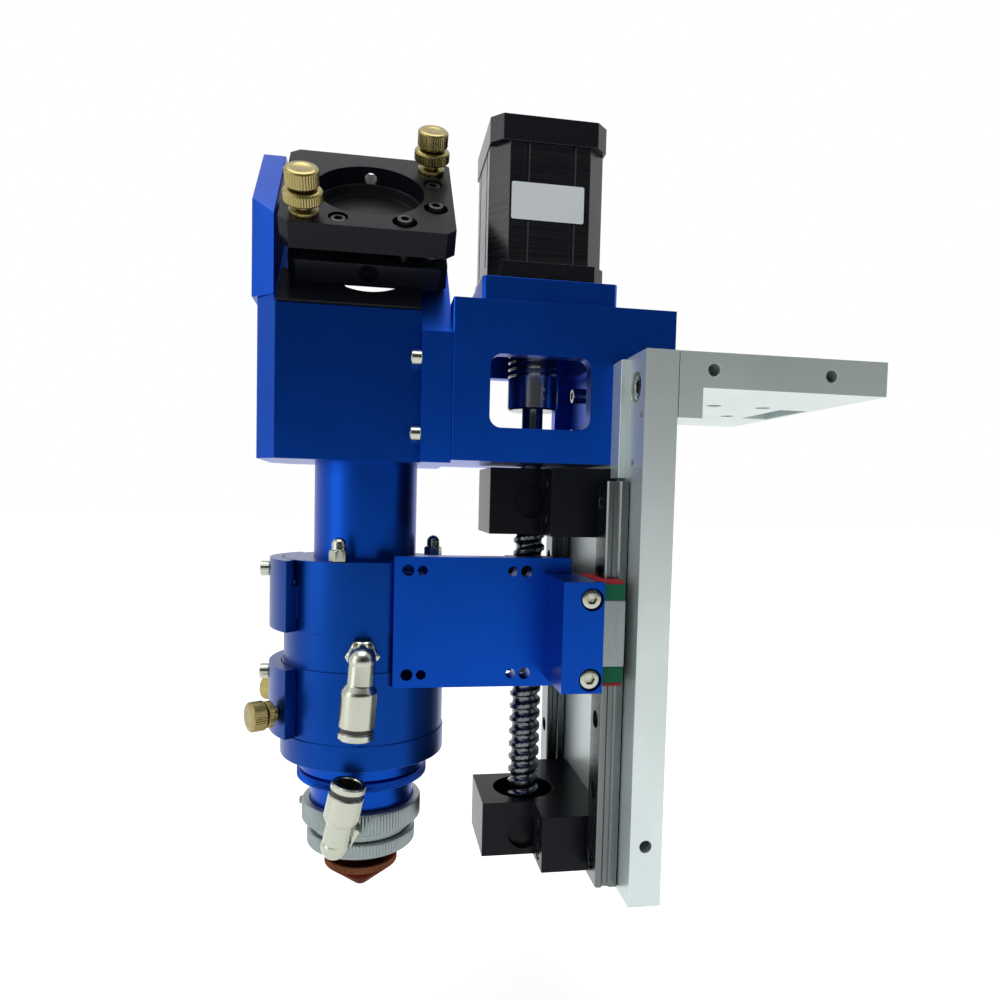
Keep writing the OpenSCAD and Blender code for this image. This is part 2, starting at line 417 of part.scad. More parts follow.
// ---- air elbows ---------------------------------------------------------------------------------
// Elbow frame: +Z out of the port, the arm leaves at height d along -Y
module elbow_base(r0, r1, d, t, s) { translate([0, 0, r0 - s]) cylinder(h = s + 1, r = t); translate([0, 0, r0 + 0.1]) cylinder(h = r1 - r0, r = 5.77, $fn = 6); translate([0, 0, r1 - 0.5]) cylinder(h = d - 5.3 - r1 + 0.5, r = 3.9); translate([0, 0, r1 - 0.5]) cylinder(h = d - r1 + 1, r = 3); }
module elbow_arm(d, l) { difference() {
  union() {
    translate([0, 0, d - 5]) cylinder(h = 5, r = 4.5);
    translate([0, 0, d]) sphere(r = 4.5);
    translate([0, 0, d]) rotate([90, 0, 0]) { cylinder(h = 9, r = 4.4); translate([0, 0, 7.4]) cylinder(h = 2, r1 = 4.4, r2 = 6); translate([0, 0, 9.3]) cylinder(h = l - 12.8, r = 6.05); translate([0, 0, l - 3.6]) cylinder(h = 1.5, r = 5.3); translate([0, 0, l - 2.2]) cylinder(h = 2.2, r = 5.9); }
  }
  translate([0, 0, d - 6]) cylinder(h = 6.8, r = 3.05);
  translate([0, 0, d]) rotate([90, 0, 0]) translate([0, 0, l - 13]) cylinder(h = 14, r = 4);
  translate([0, 0, d]) rotate([90, 0, 0]) translate([0, 0, 1]) cylinder(h = l - 10, r = 2);
} }
module port1() { barrel() translate([0, 0, el1_z]) rotate([90, 0, 0]) children(); }
module port2() { barrel(-el2_a) translate([0, 0, el2_z]) rotate([90, 0, 0]) children(); }
module elbow_bases() { color(nickel) { port1() elbow_base(barrel_r - 0.6, 34.6, 40, 4, 6); port2() elbow_base(22.1, 26.6, 36.6, 2.5, 2.9); } }
module upper_elbow() { color(nickel) port1() rotate([0, 0, -4]) elbow_arm(40, 25.6); }
module lower_elbow() { color(nickel) port2() rotate([0, 0, 180 - el2_tilt]) elbow_arm(36.6, 22); }

back_plate();
top_bracket();
frame_screws();
linear_rails();
rail_screws();
upper_bearing_block();
lower_bearing_block();
screw_bearings();
motor_housing();
housing_shim();
motor_adapter();
motor_front_cover();
motor_stator();
motor_rear_cover();
mirror_block();
mirror_flange();
left_cheek();
mirror_base_plate();
spring_screws();
pivot_ball();
tilt_plate();
mirror_cell();
mirror_disc();
lock_screws();
tilt_bushings();
tilt_knob_left();
tilt_knob_right();
ball_screw();
shaft_coupling();
motor_shaft();
guide_blocks();
guide_end_caps();
guide_seals();
nut_block();
side_blocks();
side_block_screws();
front_plate();
ball_nut();
barrel_upper_module();
barrel_mid_ring();
barrel_lower_module();
barrel_lower_flange();
nose_tube();
beam_tube();
acorn_nuts();
nozzle_body();
copper_nozzle();
elbow_bases();
lock_ring();
nozzle_nut();
upper_drawer();
window_glass();
upper_drawer_screw();
lower_drawer();
focus_lens();
lower_drawer_screw();
centring_knob_front();
centring_knob_rear();
upper_elbow();
lower_elbow();
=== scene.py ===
import bpy, bmesh, math, json
from mathutils import Vector, Matrix


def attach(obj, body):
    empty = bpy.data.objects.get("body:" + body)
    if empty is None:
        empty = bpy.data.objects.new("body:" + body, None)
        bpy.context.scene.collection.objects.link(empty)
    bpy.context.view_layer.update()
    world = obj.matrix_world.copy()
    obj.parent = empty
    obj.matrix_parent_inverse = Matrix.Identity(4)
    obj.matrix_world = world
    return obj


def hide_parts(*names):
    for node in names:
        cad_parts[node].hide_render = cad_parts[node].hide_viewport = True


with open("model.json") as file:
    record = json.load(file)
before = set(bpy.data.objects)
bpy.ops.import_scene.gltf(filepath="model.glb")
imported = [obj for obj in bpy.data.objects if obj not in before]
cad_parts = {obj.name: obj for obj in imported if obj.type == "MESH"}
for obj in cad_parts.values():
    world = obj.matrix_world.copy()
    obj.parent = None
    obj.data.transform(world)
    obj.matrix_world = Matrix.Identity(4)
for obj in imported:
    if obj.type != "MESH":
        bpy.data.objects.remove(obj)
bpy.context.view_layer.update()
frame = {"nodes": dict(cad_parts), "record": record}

MM = 0.001
BX = -87.4                                   # barrel axis, working frame (mm)
MS = Matrix.Translation((-0.052, 0, -0.182)) @ Matrix.Diagonal((MM, MM, MM, 1))
MIRROR = MS @ Matrix.Translation((-87.5, 3.0, 224.3)) @ Matrix.Rotation(math.radians(45), 4, 'X')
TAU = 2 * math.pi


def T(x, y, z):
    return Matrix.Translation((x, y, z))


def R(deg, ax):
    return Matrix.Rotation(math.radians(deg), 4, ax)


def barrel(a=0):
    return MS @ T(BX, 0, 0) @ R(a, 'Z')


# ------------------------------------------------------------------ materials
def material(name, base, metallic, rough, grain=5000.0, bump=0.08, var=0.10, rough_var=0.08,
             stretch=(1, 1, 1), coat=0.0, coat_rough=0.2, spec=0.5, cloud=45.0, depth=0.00002):
    m = bpy.data.materials.new(name)
    m.use_nodes = True
    nt = m.node_tree
    n, l = nt.nodes, nt.links
    p = n["Principled BSDF"]
    p.inputs["Metallic"].default_value = metallic
    p.inputs["Coat Weight"].default_value = coat
    p.inputs["Coat Roughness"].default_value = coat_rough
    p.inputs["Specular IOR Level"].default_value = spec
    tc = n.new("ShaderNodeTexCoord")
    mp = n.new("ShaderNodeMapping")
    mp.inputs["Scale"].default_value = stretch
    l.new(tc.outputs["Object"], mp.inputs["Vector"])
    fine = n.new("ShaderNodeTexNoise")
    fine.inputs["Scale"].default_value = grain
    fine.inputs["Detail"].default_value = 4
    fine.inputs["Roughness"].default_value = 0.6
    l.new(mp.outputs["Vector"], fine.inputs["Vector"])
    big = n.new("ShaderNodeTexNoise")
    big.inputs["Scale"].default_value = cloud
    big.inputs["Detail"].default_value = 5
    l.new(tc.outputs["Object"], big.inputs["Vector"])
    mixn = n.new("ShaderNodeMath"); mixn.operation = 'MULTIPLY_ADD'
    l.new(fine.outputs["Fac"], mixn.inputs[0])
    mixn.inputs[1].default_value = 0.45
    l.new(big.outputs["Fac"], mixn.inputs[2])
    ramp = n.new("ShaderNodeValToRGB")
    ramp.color_ramp.elements[0].position = 0.40
    ramp.color_ramp.elements[1].position = 1.0
    ramp.color_ramp.elements[0].color = [c * (1 - var) for c in base] + [1]
    ramp.color_ramp.elements[1].color = [min(1, c * (1 + var)) for c in base] + [1]
    l.new(mixn.outputs[0], ramp.inputs["Fac"])
    l.new(ramp.outputs["Color"], p.inputs["Base Color"])
    rr = n.new("ShaderNodeMapRange")
    rr.inputs["From Min"].default_value = 0.3
    rr.inputs["From Max"].default_value = 0.7
    rr.inputs["To Min"].default_value = max(0.02, rough - rough_var)
    rr.inputs["To Max"].default_value = rough + rough_var
    l.new(fine.outputs["Fac"], rr.inputs["Value"])
    l.new(rr.outputs["Result"], p.inputs["Roughness"])
    bp = n.new("ShaderNodeBump")
    bp.inputs["Strength"].default_value = bump
    bp.inputs["Distance"].default_value = depth
    l.new(fine.outputs["Fac"], bp.inputs["Height"])
    l.new(bp.outputs["Normal"], p.inputs["Normal"])
    return m


M = {
    "blue": material("anodised_blue", (0.0015, 0.050, 0.35), 0.95, 0.33, coat=0.01, coat_rough=0.22, bump=0.10),
    # A darker copy of the anodised blue: painted shade for the barrel parts and drawers.
    "blue_painted_shade": material("anodised_blue_painted_shade", (0.0012, 0.037, 0.230), 0.95, 0.33, coat=0.01, coat_rough=0.22, bump=0.10),
    # A lighter copy of the anodised blue: painted light for the motor housing, motor adapter and mirror flange.
    "blue_painted_light": material("anodised_blue_painted_light", (0.003, 0.072, 0.50), 0.95, 0.34, coat=0.01, coat_rough=0.22, bump=0.10),
    "black": material("anodised_black", (0.0035, 0.0045, 0.0070), 0.0, 0.26, bump=0.10, spec=0.11),
    "silver": material("blasted_aluminium", (0.55, 0.62, 0.61), 0.75, 0.37, bump=0.20, var=0.06, grain=4200),
    "motor": material("black_lacquer", (0.004, 0.004, 0.007), 0.0, 0.25, bump=0.05, coat=0.05, spec=0.4, grain=2500),
    "lamination": material("motor_laminations", (0.004, 0.004, 0.006), 0.1, 0.26, bump=0.06, grain=900,
                           stretch=(0.02, 0.02, 2.2), coat=0.10, depth=0.00005),
    "steel": material("ground_steel", (0.33, 0.34, 0.34), 1.0, 0.26, bump=0.12, grain=2500, stretch=(1, 1, 0.05)),
    "rail": material("ground_rail_steel", (0.125, 0.14, 0.14), 1.0, 0.24, bump=0.14, grain=3000, stretch=(1, 1, 0.03)),
    "guide": material("guide_carriage_steel", (0.21, 0.245, 0.245), 1.0, 0.28, bump=0.14, grain=3000, stretch=(1, 1, 0.03)),
    "screw": material("rolled_screw_steel", (0.125, 0.135, 0.145), 1.0, 0.22, bump=0.15, grain=2500),
    "nickel": material("nickel_plate", (0.42, 0.44, 0.37), 1.0, 0.21, bump=0.06, var=0.05, grain=2200),
    # A darker copy of the aluminium: painted shade for the nozzle body and clamp nut, standing in for the darker
    # surroundings they reflect.
    "nozzle": material("aluminium_painted_shade", (0.24, 0.28, 0.28), 0.85, 0.32, bump=0.10, var=0.05, grain=2400),
    "dark_steel": material("black_oxide_steel", (0.020, 0.020, 0.022), 0.75, 0.30, bump=0.12),
    "coupling": material("dark_coupling_steel", (0.34, 0.36, 0.39), 1.0, 0.20, bump=0.08),
    "brass": material("turned_brass", (0.29, 0.24, 0.095), 1.0, 0.30, bump=0.02, var=0.06, grain=2600),
    "copper": material("turned_copper", (0.115, 0.045, 0.023), 1.0, 0.32, bump=0.30, grain=1500, stretch=(0.05, 0.05, 2.0)),
    "green": material("green_plastic", (0.003, 0.085, 0.040), 0.0, 0.42, bump=0.10, spec=0.12),
    "red": material("red_seal", (0.20, 0.010, 0.014), 0.0, 0.55, bump=0.15, spec=0.2),
    "label": material("label_foil", (0.44, 0.47, 0.48), 0.0, 0.42, bump=0.05, var=0.04),
    "mirror": material("mirror_coat", (0.70, 0.66, 0.58), 1.0, 0.06, bump=0.01, rough_var=0.03),
    "cell": material("black_cell", (0.010, 0.012, 0.014), 0.3, 0.36, bump=0.12),
    "rubber": material("black_ring", (0.008, 0.008, 0.008), 0.0, 0.45, bump=0.10),
}
# The oxidised copper stays dark at grazing angles too.
M["copper"].node_tree.nodes["Principled BSDF"].inputs["Specular Tint"].default_value = (0.30, 0.14, 0.09, 1)


def glass(name, tint):
    m = bpy.data.materials.new(name)
    m.use_nodes = True
    nt = m.node_tree
    p = nt.nodes["Principled BSDF"]
    p.inputs["Transmission Weight"].default_value = 1.0
    p.inputs["IOR"].default_value = 1.5
    tc = nt.nodes.new("ShaderNodeTexCoord")
    no = nt.nodes.new("ShaderNodeTexNoise")
    no.inputs["Scale"].default_value = 300
    nt.links.new(tc.outputs["Object"], no.inputs["Vector"])
    mr = nt.nodes.new("ShaderNodeMapRange")
    mr.inputs["To Min"].default_value = 0.01
    mr.inputs["To Max"].default_value = 0.05
    nt.links.new(no.outputs["Fac"], mr.inputs["Value"])
    nt.links.new(mr.outputs["Result"], p.inputs["Roughness"])
    p.inputs["Base Color"].default_value = tint
    return m


M["glass"] = glass("coated_glass", (0.90, 0.96, 0.95, 1))
BODY = {n: b for b, ns in frame["record"]["behaviour"]["bodies"].items() for n in ns}


# ------------------------------------------------------------------ mesh tools
def finish_mesh(me, angle=32):
    me.polygons.foreach_set("use_smooth", [True] * len(me.polygons))
    me.set_sharp_from_angle(angle=math.radians(angle))
    me.update()


def put(me, name, body, mats, nodes=()):
    o = bpy.data.objects.new(name, me)
    bpy.context.scene.collection.objects.link(o)
    for k in mats:
        me.materials.append(M[k])
    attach(o, body)
    if nodes:
        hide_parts(*nodes)
    return o


def refine(node, mat, width=0.3, seg=2, angle=38):
    """A copy of a node's mesh with its sharp edges broken by a small round."""
    src = frame["nodes"][node]
    bm = bmesh.new()
    bm.from_mesh(src.data)
    bmesh.ops.remove_doubles(bm, verts=bm.verts, dist=1e-6)
    bmesh.ops.dissolve_limit(bm, angle_limit=math.radians(0.6), verts=bm.verts, edges=bm.edges, delimit=set())
    edges = [e for e in bm.edges if len(e.link_faces) == 2 and e.calc_face_angle(0) > math.radians(angle)]
    bmesh.ops.bevel(bm, geom=edges, offset=width * MM, offset_type='OFFSET', segments=seg, profile=0.5,
                    affect='EDGES', clamp_overlap=True, harden_normals=False)
    bmesh.ops.recalc_face_normals(bm, faces=bm.faces)
    me = bpy.data.meshes.new(node + "_fine")
    bm.to_mesh(me)
    bm.free()
    finish_mesh(me, 40)
    o = put(me, node + "_fine", BODY[node], [mat], [node])
    w = o.modifiers.new("weighted", 'WEIGHTED_NORMAL')
    w.keep_sharp = True
    return o


class Build:
    def __init__(self):
        self.v, self.f, self.m = [], [], []

    def add(self, verts, faces, mtx, mat=0):
        o = len(self.v)
        self.v += [mtx @ Vector(p) for p in verts]
        self.f += [tuple(i + o for i in f) for f in faces]
        self.m += [mat] * len(faces) if isinstance(mat, int) else mat

    def lathe(self, prof, mtx, n=96, mat=0, closed=False):
        """prof: (radius or radius(theta), height[, material]); a radius of 0 is a pole."""
        verts, rings, faces, mats = [], [], [], []
        for q in prof:
            r, h = q[0], q[1]
            if not callable(r) and r == 0:
                rings.append([len(verts)])
                verts.append((0, 0, h))
            else:
                rings.append(list(range(len(verts), len(verts) + n)))
                for j in range(n):
                    t = TAU * j / n
                    rr = r(t) if callable(r) else r
                    hh = h(t) if callable(h) else h
                    verts.append((rr * math.cos(t), rr * math.sin(t), hh))
        pairs = [(i, i + 1) for i in range(len(prof) - 1)]
        if closed:
            pairs.append((len(prof) - 1, 0))
        for a, b in pairs:
            A, B = rings[a], rings[b]
            mt = prof[b][2] if len(prof[b]) > 2 else mat
            for j in range(n):
                k = (j + 1) % n
                if len(A) == 1 and len(B) == 1:
                    continue
                if len(A) == 1:
                    faces.append((A[0], B[k], B[j]))
                elif len(B) == 1:
                    faces.append((A[j], A[k], B[0]))
                else:
                    faces.append((A[j], A[k], B[k], B[j]))
                mats.append(mt)
        self.add(verts, faces, mtx, mats)

    def coil(self, mtx, rc, rw, z0, z1, turns, seg=20, sides=8, mat=0):
        verts, faces = [], []
        n = int(turns * seg)
        for i in range(n + 1):
            t = TAU * turns * i / n
            c = Vector((rc * math.cos(t), rc * math.sin(t), z0 + (z1 - z0) * i / n))
            out = Vector((math.cos(t), math.sin(t), 0))
            for j in range(sides):
                a = TAU * j / sides
                verts.append(c + out * (rw * math.cos(a)) + Vector((0, 0, rw * math.sin(a))))
        for i in range(n):
            for j in range(sides):
                k = (j + 1) % sides
                faces.append((i * sides + j, i * sides + k, (i + 1) * sides + k, (i + 1) * sides + j))
        faces.append(tuple(range(sides))[::-1])
        faces.append(tuple(n * sides + j for j in range(sides)))
        self.add(verts, faces, mtx, mat)

    def obj(self, name, body, mats, nodes=(), angle=32, weighted=True):
        me = bpy.data.meshes.new(name)
        me.from_pydata([tuple(p) for p in self.v], [], self.f)
        me.polygons.foreach_set("material_index", self.m)
        bm = bmesh.new()
        bm.from_mesh(me)
        bmesh.ops.recalc_face_normals(bm, faces=bm.faces)
        bm.to_mesh(me)
        bm.free()
        finish_mesh(me, angle)
        o = put(me, name, body, mats, nodes)
        if weighted:
            w = o.modifiers.new("weighted", 'WEIGHTED_NORMAL')
            w.keep_sharp = True
        return o


def hexr(ap, turn=0.0):
    """Radius of a hexagon with its corners at multiples of 60 degrees; ap: half its width across flats."""
    return lambda t: ap / math.cos(((t + turn) % (math.pi / 3)) - math.pi / 6)


def knurl(r, teeth, depth, shift=0.0):
    def f(t):
        x = (t * teeth / TAU + shift) % 1.0
        return r - depth * abs(2 * x - 1) ** 1.2
    return f


def cap_screw(b, mtx, hr, hl, sr, sl, mat=0, socket=None, smooth=False):
    """Socket head screw: mtx's +Z runs into the work, its origin is the head's top."""
    s = socket or hr * 0.50
    k = (lambda t: hr) if smooth else knurl(hr, 24, hr * 0.035)
    c = hr * 0.12
    b.lathe([(0, hl * 0.62), (hexr(s), hl * 0.56), (hexr(s), 0.12 * s), (hexr(s * 1.08), 0), (hr - c * 1.2, 0), (hr - c * 0.4, c * 0.35),
             (k, c * 1.1), (k, hl - 0.25), (hr - 0.2, hl), (sr, hl), (sr, hl + sl - 0.4), (sr - 0.3, hl + sl), (0, hl + sl)], mtx, 72, mat)


def xdir(x, y, z):
    return MS @ T(x, y, z) @ R(90, 'Y')


# ------------------------------------------------------------------ CAD shapes with broken edges
for node, mat, w in [
    ("back_plate", "silver", 0.45), ("top_bracket", "silver", 0.35), ("housing_shim", "silver", 0.2),
    ("linear_rails", "rail", 0.15), ("upper_bearing_block", "black", 0.4), ("lower_bearing_block", "black", 0.4),
    # The motor housing and adapter here, and the mirror flange below, take the lighter copy of the blue, which is
    # painted light.
    ("motor_housing", "blue_painted_light", 0.4), ("motor_adapter", "blue_painted_light", 0.4), ("motor_front_cover", "motor", 0.5),
    ("motor_stator", "lamination", 0.3), ("motor_rear_cover", "motor", 1.0),
    ("mirror_block", "blue", 0.35), ("mirror_flange", "blue_painted_light", 0.35), ("left_cheek", "blue", 0.4),
    ("mirror_base_plate", "black", 0.2), ("tilt_plate", "black", 0.3), ("mirror_cell", "cell", 0.2),
    ("tilt_bushings", "brass", 0.2), ("guide_blocks", "guide", 0.2), ("guide_end_caps", "green", 0.3),
    ("guide_seals", "red", 0.2), ("nut_block", "blue", 0.3), ("side_blocks", "blue", 0.35), ("front_plate", "blue", 0.3),
    # The barrel parts and drawers take the darker copy of the blue, which is painted shade.
    ("ball_nut", "dark_steel", 0.3), ("barrel_upper_module", "blue_painted_shade", 0.4), ("barrel_mid_ring", "blue_painted_shade", 0.5),
    ("barrel_lower_module", "blue_painted_shade", 0.4), ("barrel_lower_flange", "blue_painted_shade", 0.35), ("upper_drawer", "blue_painted_shade", 0.25),
    ("lower_drawer", "blue_painted_shade", 0.3), ("screw_bearings", "steel", 0.3),
]:
    refine(node, mat, w)

# ------------------------------------------------------------------ ball screw and coupling
AX = MS @ T(-25, 0, 0)


def thread(b, mtx, r, z0, z1, lead, groove, depth, dz=0.25, n=80, mat=0, phase=0.0):
    def rad(z):
        fade = min(1.0, max(0.0, min(z - z0, z1 - z) / 0.8))

        def f(t):
            x = ((z / lead - t / TAU + phase) % 1.0 - 0.5) * lead
            if abs(x) < groove / 2:
                return r - fade * depth * math.sqrt(max(0.0, 1 - (2 * x / groove) ** 2))
            return r
        return f
    k = int((z1 - z0) / dz)
    return [(rad(z0 + (z1 - z0) * i / k), z0 + (z1 - z0) * i / k) for i in range(k + 1)]


b = Build()
b.lathe([(0, 2), (4.4, 2), (5, 2.6), (5, 14.5), (5.5, 14.5)] + thread(b, AX, 6.0, 14.6, 121.9, 5.0, 3.4, 1.15)
        + [(5, 122), (5, 144), (4, 144), (4, 177.4), (3.5, 178), (0, 178)], AX, 80)
b.obj("ball_screw_fine", "drive_shaft", ["screw"], ["ball_screw"], angle=40)

b = Build()


def slot_r(z):
    def f(t):
        if z < 177.6 or z > 189.2:
            return 9.7
        x = (z - 177.6) / 2.6 - t / TAU
        return 6.9 if (x % 1.0) < 0.34 and 0.0 <= x <= 4.2 else 9.7
    return f


rows = [(9.1, 167.0), (9.7, 167.6), (9.7, 177.2)] + [(slot_r(177.3 + 0.13 * i), 177.3 + 0.13 * i) for i in range(93)] + [(9.7, 190.9), (9.1, 191.5)]
b.lathe([(4.03, 178.4), (4.03, 167.0)] + rows + [(2.6, 191.5), (2.53, 179)], AX, 96, closed=True)
for z in (171.5, 175.0):
    cap_screw(b, AX @ R(-70, 'Z') @ T(9.8, 0, z) @ R(-90, 'Y'), 1.5, 0.5, 1.3, 4, 0)
b.obj("shaft_coupling_fine", "drive_shaft", ["coupling"], ["shaft_coupling"])

# ------------------------------------------------------------------ frame screws
b = Build()
for y in (-46.5, -20, 20, 46.5):
    cap_screw(b, xdir(0.6, y, 171), 4.25, 5, 2.5, 13)
for s in (-1, 1):
    for z in (5.5, 14.5, 126, 139):
        cap_screw(b, xdir(-23.2, s * 23, z), 3.5, 4, 2, 28, mat=1)
for z in (158, 173.7):
    cap_screw(b, xdir(-9.6, 0, z), 2.85, 5.4, 2, 13.1, smooth=True)
for s in (-1, 1):
    for z in (154.5, 180):
        cap_screw(b, xdir(-72.7, s * 27.8, z), 2.7, 3.5, 1.5, 17, smooth=True)
b.obj("frame_screws_fine", "frame", ["nickel", "dark_steel"], ["frame_screws"])

b = Build()
for s in (-1, 1):
    for i in range(6):
        cap_screw(b, xdir(-6.5, s * 39, 8.1 + 25 * i), 2.75, 3, 1.45, 11)
b.obj("rail_screws_fine", "frame", ["dark_steel"], ["rail_screws"])

b = Build()
for s in (-1, 1):
    for z in (76, 101.9):
        cap_screw(b, MS @ T(-15.3, s * 55.6, z) @ R(-90 if s < 0 else 90, 'X'), 3.25, 3.0, 1.5, 31, smooth=True, socket=1.45)
b.obj("side_block_screws_fine", "carriage", ["nickel"], ["side_block_screws"])

for node, body, z in (("upper_drawer_screw", "window_drawer", 105.7), ("lower_drawer_screw", "lens_drawer", 67.7)):
    b = Build()
    cap_screw(b, xdir(BX - 37.6, 0, z), 2.75, 3.3, 1.5, 4)
    b.obj(node + "_fine", body, ["nickel"], [node])

b = Build()
for p in ((11.8, -21.6), (22.6, -9.8)):
    cap_screw(b, MIRROR @ T(p[0], p[1], 23.2) @ R(180, 'X'), 2.6, 3, 1.5, 17, smooth=True)
    b.coil(MIRROR @ T(p[0], p[1], 0), 2.1, 0.32, 17.95, 19.9, 2.6, mat=1)
b.obj("spring_screws_fine", "frame", ["dark_steel", "steel"], ["spring_screws"])

b = Build()
for p in ((-10, -21.6), (22.4, 9.6)):
    cap_screw(b, MIRROR @ T(p[0], p[1], 21.6) @ R(180, 'X'), 2.6, 1.6, 1.5, 6.5, smooth=True)
b.obj("lock_screws_fine", "mirror_mount", ["dark_steel"], ["lock_screws"])

# motor corner screws on the rear cover
b = Build()
for sx in (-1, 1):
    for sy in (-1, 1):
        cap_screw(b, MS @ T(-25 + sx * 15.5, sy * 15.5, 267.6) @ R(180, 'X'), 2.7, 1.8, 1.4, 5, smooth=True)
b.obj("motor_screws", "frame", ["dark_steel"])


# ------------------------------------------------------------------ knurled knobs
def thumb_profile(b, mtx, z, shank0, knob_r, ring_r, k1, k2):
    """z: start of the neck; shank runs down to shank0."""
    cap = knurl(knob_r, k1, 0.24)
    rg = knurl(ring_r, k2, 0.26)
    b.lathe([(0, shank0), (1.5, shank0), (2.0, shank0 + 0.5), (2.0, z), (2.6, z), (2.9, z + 0.3), (2.9, z + 7.0), (knob_r - 0.9, z + 7.1), (knob_r - 0.4, z + 7.3), (cap, z + 7.7),
             (cap, z + 12.1), (knob_r - 0.45, z + 12.55), (knob_r - 0.8, z + 12.75), (knob_r * 0.55, z + 12.82), (knob_r * 0.5, z + 12.70), (knob_r * 0.12, z + 12.72), (0, z + 12.66)],
            mtx, 36 * 5)
    b.lathe([(2.93, z + 1.9), (ring_r - 0.9, z + 1.9), (ring_r - 0.45, z + 2.1), (rg, z + 2.6), (rg, z + 5.4), (ring_r - 0.45, z + 5.9), (ring_r - 0.9, z + 6.2), (ring_r * 0.62, z + 6.5), (2.93, z + 6.5)],
            mtx, 44 * 5, closed=True)


for node, body, p in (("tilt_knob_left", "left_thumbscrew", (-21, -20.6)), ("tilt_knob_right", "right_thumbscrew", (22, 20.4))):
    b = Build()
    thumb_profile(b, MIRROR @ T(p[0], p[1], 0), 23.6, 10, 5.5, 6.45, 36, 44)
    b.obj(node + "_fine", body, ["brass"], [node], angle=28, weighted=False)

for node, body, s in (("centring_knob_front", "centring_screw_front", 1), ("centring_knob_rear", "centring_screw_rear", -1)):
    b = Build()
    mt = barrel(180 + 30 * s) @ T(0, 0, 56.5) @ R(90, 'Y')
    cap, rg = knurl(5.2, 34, 0.22), knurl(4.7, 34, 0.22)
    b.lathe([(0, 19.5), (1.2, 19.5), (1.5, 19.9), (1.5, 34.6), (2.7, 34.7), (2.7, 38.7), (4.3, 38.7), (4.8, 38.9), (cap, 39.3), (cap, 43.5), (4.7, 43.95), (4.4, 44.1), (2.9, 44.12), (2.7, 44.0), (0, 43.98)], mt, 34 * 5)
    b.lathe([(2.72, 35.9), (3.9, 35.9), (4.35, 36.1), (rg, 36.4), (rg, 38.0), (4.35, 38.3), (3.9, 38.45), (2.72, 38.45)], mt, 34 * 5, closed=True)
    b.obj(node + "_fine", body, ["brass"], [node], angle=28, weighted=False)

# ------------------------------------------------------------------ barrel turned parts
b = Build()
b.lathe([(16.6, 106), (18.4, 106), (18.7, 106.3), (18.7, 189.6), (18.3, 190), (16.9, 190), (16.6, 189.7)], barrel(), 128, closed=True)
b.obj("beam_tube_fine", "carriage", ["blue"], ["beam_tube"])

b = Build()
b.lathe([(10, 13), (18.8, 13), (19.1, 13.3), (19.1, 20.9), (18.85, 21.0), (18.85, 21.5), (19.1, 21.6), (19.1, 32.9), (23.0, 32.9), (23.3, 33.2), (23.3, 38.5), (23.1, 38.8), (14, 38.8), (10, 20)], barrel(), 128, closed=True)
b.obj("nose_tube_fine", "carriage", ["blue"], ["nose_tube"])

b = Build()
rows = [(knurl(24.1, 120, 0.45, i * 0.22), 29.5 + 0.25 * i) for i in range(12)]
b.lathe([(19.16, 29.1), (23.4, 29.1), (23.6, 29.2)] + rows + [(23.6, 32.5), (23.4, 32.6), (19.16, 32.6)], barrel(), 480, closed=True)
b.obj("lock_ring_fine", "nose_lock_ring", ["blue"], ["lock_ring"], weighted=False)

b = Build()
k = knurl(22.1, 112, 0.40)
b.lathe([(8.05, 3), (16.6, 3), (16.95, 3.4), (16.95, 9.2), (18.4, 9.2), (18.4, 12.5), (21.2, 12.5), (21.7, 12.8), (k, 13.2), (k, 19.6), (21.7, 20.1), (21.2, 20.4), (19.5, 20.4), (19.15, 20.1), (19.15, 13), (8.05, 13)],
        barrel(), 448, closed=True)
cap_screw(b, barrel(172) @ T(23.4, 0, 17.2) @ R(-90, 'Y'), 1.5, 1.4, 1.2, 1.8)
# The nozzle body takes the darker aluminium copy, which is painted shade.
b.obj("nozzle_body_fine", "carriage", ["nozzle"], ["nozzle_body"], weighted=False)

b = Build()
k = knurl(20.1, 104, 0.40)
b.lathe([(17.02, 3.2), (19.2, 3.2), (19.7, 3.5), (k, 3.9), (k, 8.2), (19.7, 8.7), (19.2, 9.0), (17.02, 9.0)], barrel(), 416, closed=True)
# The clamp nut takes the darker aluminium copy, which is painted shade.
b.obj("nozzle_nut_fine", "nozzle_clamp_nut", ["nozzle"], ["nozzle_nut"], weighted=False)

b = Build()
k = knurl(13.6, 84, 0.28)
b.lathe([(0.9, -14.4), (1.9, -14.4), (2.3, -14.2), (12.8, -5.75), (13.2, -5.4), (k, -5.1), (k, -2.8), (13.2, -2.5), (12.8, -2.4), (9.5, -2.4), (9.5, 3.0), (8, 3.0), (8, 10), (5, 10), (1.5, -4), (0.9, -6)], barrel(), 336, closed=True)
b.obj("copper_nozzle_fine", "carriage", ["copper"], ["copper_nozzle"], weighted=False)

b = Build()
for a in (-109.5, 6, 130):
    mt = barrel(a) @ T(25.6, 0, 110.4)
    hx = hexr(2.95)
    dome = [(2.45 * math.cos(u * math.pi / 16), 5.9 + 2.45 * math.sin(u * math.pi / 16)) for u in range(8)]
    b.lathe([(0, -5), (1.5, -5), (1.5, 0), (2.7, 0), (hx, 0.25), (hx, 3.5), (2.95, 4.0), (2.6, 4.15), (2.45, 4.4)] + dome + [(0, 8.35)], mt, 72)
b.obj("acorn_nuts_fine", "carriage", ["nickel"], ["acorn_nuts"])


# ------------------------------------------------------------------ air elbows
def port(a, z):
    return barrel(a) @ T(0, 0, z) @ R(90, 'X')


def elbow_base(b, mt, r0, r1, d, t, stem):
    hx = hexr(5.0)
    b.lathe([(0, r0 - stem), (t, r0 - stem), (t, r0), (4.6, r0 + 0.05), (hx, r0 + 0.5), (hx, r1 - 0.5), (4.6, r1 + 0.05), (3.9, r1 + 0.1), (3.9, d - 5.3), (3.0, d - 5.3), (3.0, d + 0.2), (2.7, d + 0.5), (0, d + 0.5)], mt, 72)


